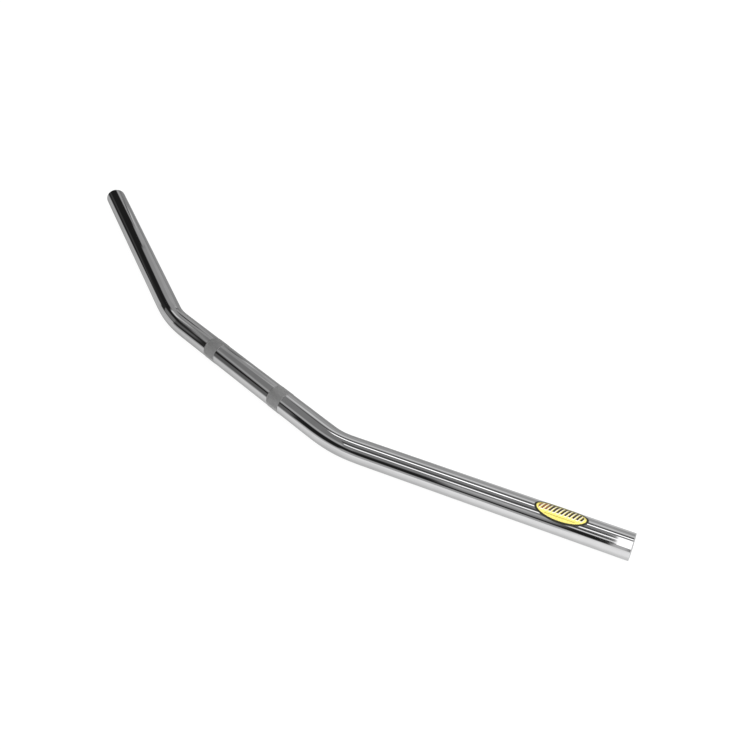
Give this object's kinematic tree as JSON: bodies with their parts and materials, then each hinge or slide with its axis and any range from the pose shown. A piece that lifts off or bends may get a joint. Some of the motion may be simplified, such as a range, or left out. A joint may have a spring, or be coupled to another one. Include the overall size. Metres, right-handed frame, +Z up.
{
  "type": "motorcycle handlebar",
  "caption": "Low, nearly flat motorcycle handlebar: a chrome tube bent back at both arms, with knurled clamp bands, open ends and an oval label.",
  "frame": {"origin": "on the tube's axis at the middle of the straight centre section, midway between the two knurled clamp bands", "axes": "+X along the centre section to the rider's left, +Y back to the rider, the way the arms are pulled, +Z up, square to the flat plane that the bar is bent in"},
  "size_m": [0.7506, 0.1028, 0.0224],
  "materials": {
    "chrome_tube": "polished",
    "label_film": "gloss"
  },
  "bodies": {
    "root": {"handlebar_tube": "chrome_tube", "oval_label": "label_film"}
  },
  "joints": []
}
